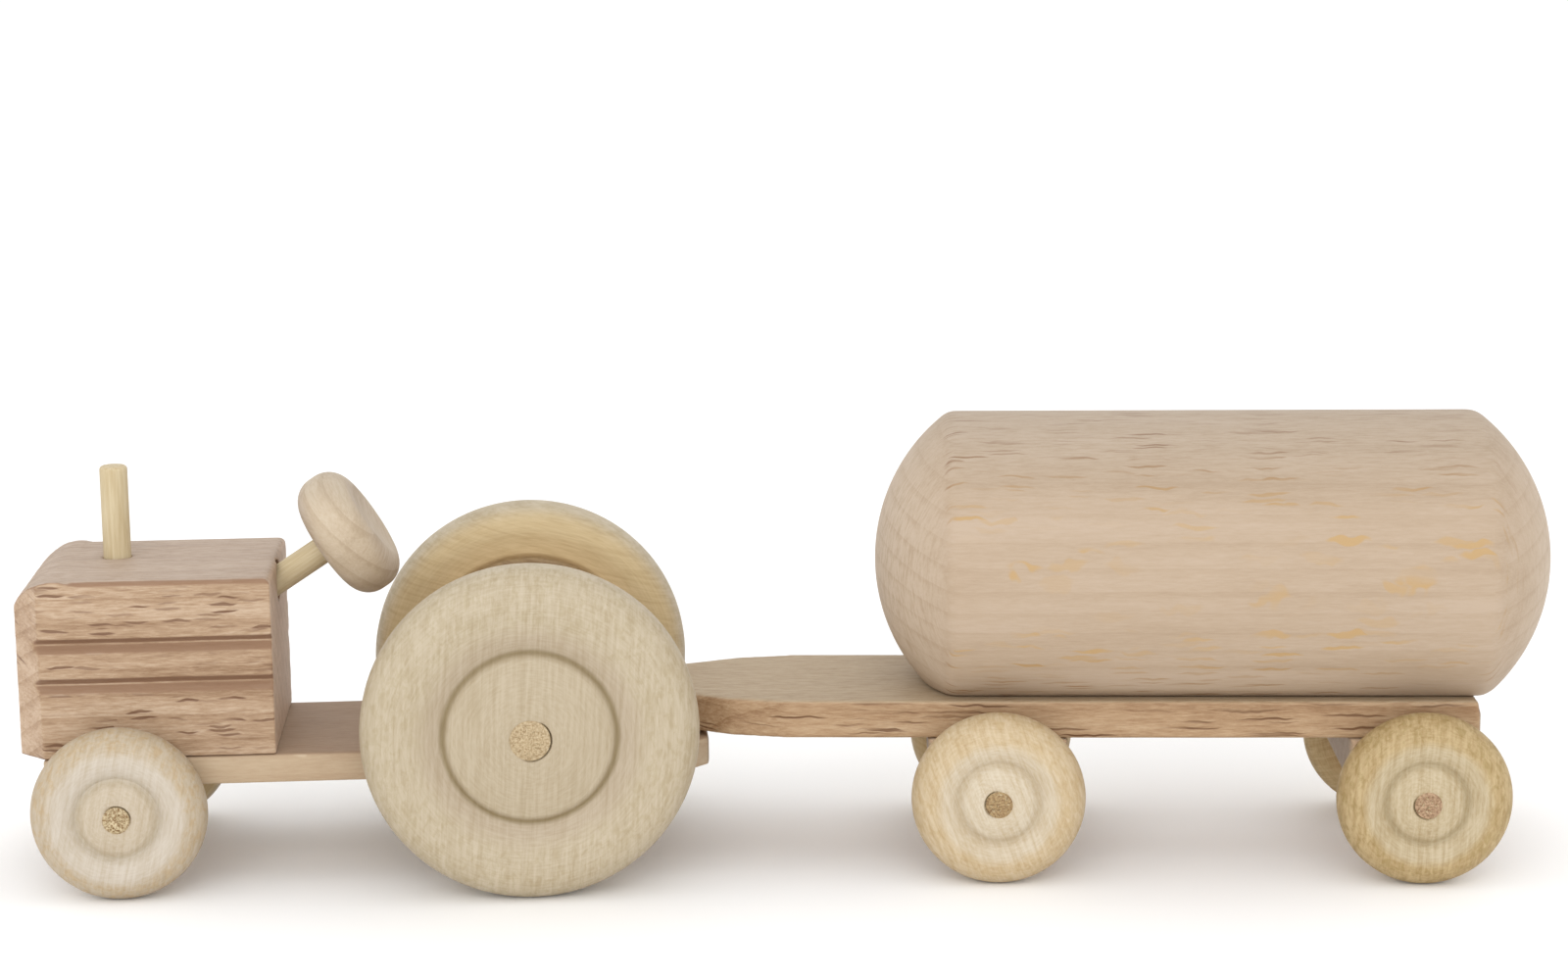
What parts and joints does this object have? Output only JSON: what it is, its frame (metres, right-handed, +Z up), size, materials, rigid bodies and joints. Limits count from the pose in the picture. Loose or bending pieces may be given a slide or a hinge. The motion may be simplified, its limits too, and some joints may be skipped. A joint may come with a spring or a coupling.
{
  "type": "toy tractor",
  "caption": "Wooden toy tractor pulling a tank trailer; wheels roll on dowel axles, the trailer swings on an upright hitch pin and the steering wheel turns.",
  "frame": {"origin": "middle of the bounding box at rest, on the floor under the wheels", "axes": "+X towards the tractor's rear and along its length (it faces -X), +Y to its right, +Z up; the trailer rests turned a little about the hitch pin"},
  "size_m": [0.2318, 0.068, 0.068],
  "materials": {
    "beech_bonnet": "bare sanded wood",
    "beech_chassis": "bare sanded wood",
    "beech_block": "bare sanded wood",
    "beech_deck": "bare sanded wood",
    "beech_tank": "bare sanded wood",
    "turned_knob": "bare sanded wood",
    "dowel": "bare sanded wood",
    "turned_big_wheel": "bare sanded wood",
    "turned_small_wheel": "bare sanded wood"
  },
  "bodies": {
    "tractor": {"bonnet": "beech_bonnet", "chassis": "beech_chassis", "exhaust_pipe": "dowel", "front_axle_block": "beech_block", "rear_axle_block": "beech_block", "hitch_pin": "dowel"},
    "steering": {"steering_column": "dowel", "steering_wheel": "turned_knob"},
    "front_axle_set": {"front_axle": "dowel", "front_wheel_left": "turned_small_wheel", "front_wheel_right": "turned_small_wheel"},
    "rear_axle_set": {"rear_axle": "dowel", "rear_wheel_left": "turned_big_wheel", "rear_wheel_right": "turned_big_wheel"},
    "trailer": {"trailer_deck": "beech_deck", "tank": "beech_tank", "trailer_front_axle_block": "beech_block", "trailer_rear_axle_block": "beech_block"},
    "trailer_front_axle_set": {"trailer_front_axle": "dowel", "trailer_front_wheel_left": "turned_small_wheel", "trailer_front_wheel_right": "turned_small_wheel"},
    "trailer_rear_axle_set": {"trailer_rear_axle": "dowel", "trailer_rear_wheel_left": "turned_small_wheel", "trailer_rear_wheel_right": "turned_small_wheel"}
  },
  "joints": [
    {"name": "steering_turn", "type": "hinge", "parent": "tractor", "child": "steering", "pos_m": [-0.07758, 0.00347, 0.0435], "axis": [0.8387, 0, 0.5446], "continuous": true},
    {"name": "front_axle_spin", "type": "hinge", "parent": "tractor", "child": "front_axle_set", "pos_m": [-0.10058, 0.00347, 0.013], "axis": [0, 1, 0], "continuous": true},
    {"name": "rear_axle_spin", "type": "hinge", "parent": "tractor", "child": "rear_axle_set", "pos_m": [-0.03958, 0.00347, 0.025], "axis": [0, 1, 0], "continuous": true},
    {"name": "hitch_turn", "type": "hinge", "parent": "tractor", "child": "trailer", "pos_m": [-0.01958, 0.00347, 0.0207], "axis": [0, 0, 1], "range_deg": [-23.8, 36.2]},
    {"name": "trailer_front_axle_spin", "type": "hinge", "parent": "trailer", "child": "trailer_front_axle_set", "pos_m": [0.03211, -0.00214, 0.013], "axis": [0.108, 0.9942, 0], "continuous": true},
    {"name": "trailer_rear_axle_spin", "type": "hinge", "parent": "trailer", "child": "trailer_rear_axle_set", "pos_m": [0.09494, -0.00897, 0.013], "axis": [0.108, 0.9942, 0], "continuous": true}
  ]
}
